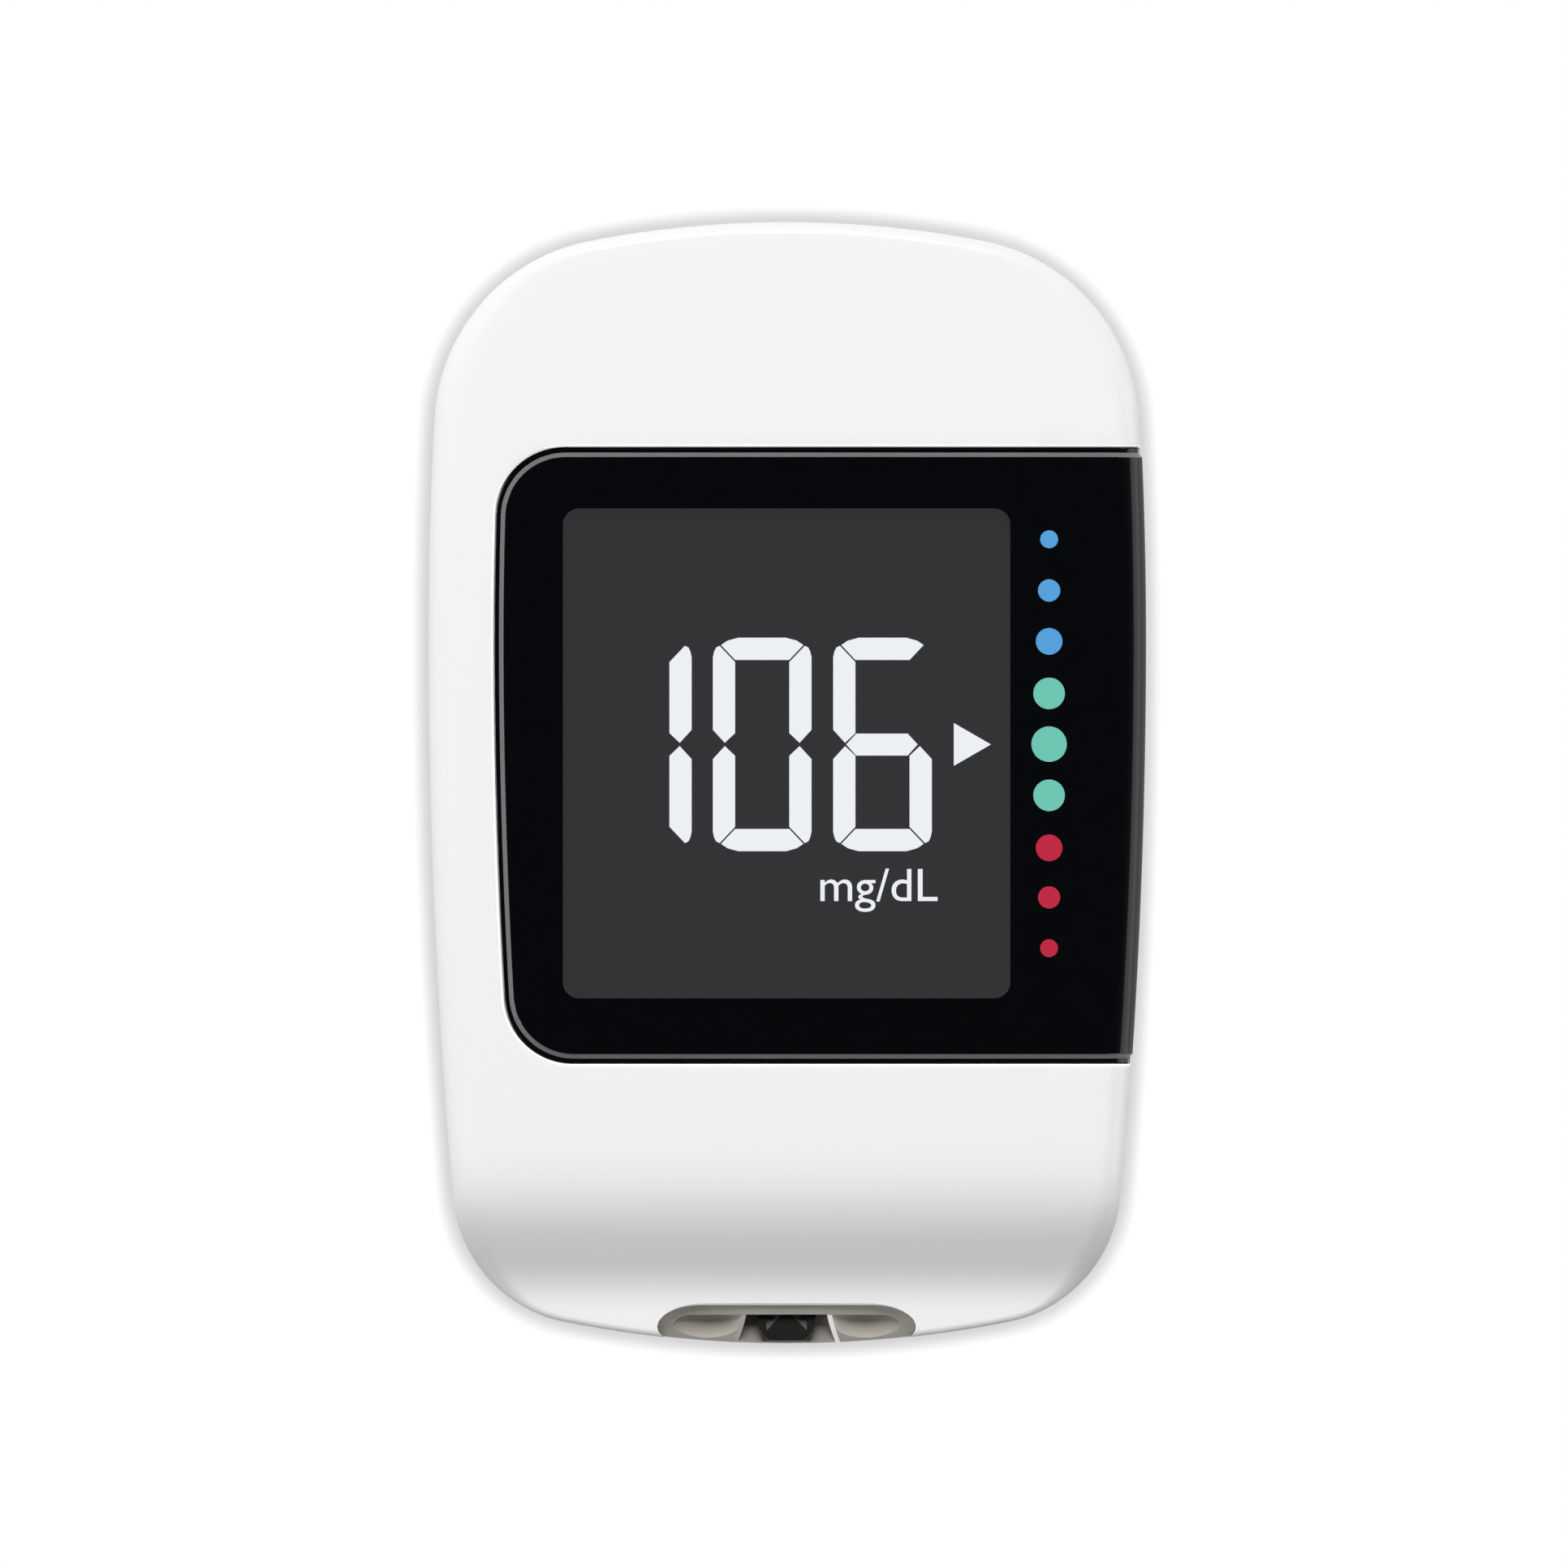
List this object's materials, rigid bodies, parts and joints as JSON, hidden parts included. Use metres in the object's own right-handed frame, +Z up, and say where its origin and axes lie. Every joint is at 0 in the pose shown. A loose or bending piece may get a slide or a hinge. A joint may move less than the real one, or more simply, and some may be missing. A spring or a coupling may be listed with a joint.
{
  "type": "blood glucose meter",
  "caption": "Pocket blood glucose meter with a wrap-round black display panel, a strip port at one end, a side button, a strip ejector and a battery door.",
  "frame": {"origin": "middle of the body's length and width, on the rear face that it lies on", "axes": "+X towards the side with the button, +Y along the meter away from the strip port, +Z up through the display"},
  "size_m": [0.0491, 0.0768, 0.0153],
  "materials": {
    "white_shell": "satin-gloss white moulded plastic",
    "gloss_black": "high-gloss black, polished",
    "button_black": "fine satin black",
    "clear_window": "clear polished plastic",
    "black_tape": "matt adhesive foam",
    "warm_grey": "satin warm grey moulded plastic",
    "guide_black": "satin black moulded plastic",
    "connector_black": "matt glass-filled plastic",
    "gold_plate": "gold plated spring",
    "display_film": "dark polarising film",
    "display_glass": "display glass",
    "white_moulding": "plain white moulding",
    "clear_guide": "clear light guide",
    "white_film": "white reflecting film",
    "led_resin": "yellow phosphor resin",
    "zebra_rubber": "layered conductive rubber",
    "board_green": "green solder mask",
    "chip_black": "black moulded package",
    "chip_ceramic": "ceramic chip parts",
    "tinned_steel": "tinned sheet",
    "switch_black": "matt black",
    "switch_white": "natural white plastic",
    "cell_steel": "nickel plated steel can",
    "dark_steel": "dark plated screw",
    "slider_grey": "satin dark grey",
    "spring_steel": "spring wire"
  },
  "bodies": {
    "casing": {"front_housing": "white_shell", "rear_housing": "white_shell", "display_surround": "gloss_black", "display_window": "clear_window", "panel_tape": "black_tape", "port_bezel": "warm_grey", "strip_guide": "guide_black", "strip_connector": "connector_black", "strip_contacts": "gold_plate", "lcd_front_polariser": "display_film", "lcd_front_glass": "display_glass", "lcd_rear_glass": "display_glass", "lcd_rear_polariser": "display_film", "lcd_frame": "white_moulding", "backlight_guide": "clear_guide", "backlight_reflector": "white_film", "backlight_leds": "led_resin", "zebra_strip": "zebra_rubber", "main_board": "board_green", "microcontroller": "chip_black", "radio_module": "tinned_steel", "timing_crystals": "tinned_steel", "chip_parts": "chip_ceramic", "switch_body": "switch_black", "usb_connector": "tinned_steel", "positive_contacts": "gold_plate", "negative_contacts": "gold_plate", "coin_cell_left": "cell_steel", "coin_cell_right": "cell_steel", "case_screws": "dark_steel", "board_screws": "dark_steel", "ejector_spring": "spring_steel"},
    "side_button": {"side_button": "button_black", "switch_plunger": "switch_white"},
    "ejector": {"ejector_slider": "slider_grey", "ejector_carriage": "white_moulding"},
    "battery_door": {"battery_door": "white_shell"}
  },
  "joints": [
    {"name": "side_button_press", "type": "slide", "parent": "casing", "child": "side_button", "axis": [-1, 0, 0], "range_m": [0, 0.0005], "stiffness_N_per_m": 1500, "springref_m": -0.0003},
    {"name": "strip_eject", "type": "slide", "parent": "casing", "child": "ejector", "axis": [0, -1, 0], "range_m": [0, 0.006], "stiffness_N_per_m": 150, "springref_m": -0.002, "deforming": ["ejector_spring"]},
    {"name": "battery_door_swing", "type": "hinge", "parent": "casing", "child": "battery_door", "pos_m": [0, 0.0274, 0.00075], "axis": [1, 0, 0], "range_deg": [0, 70]}
  ]
}
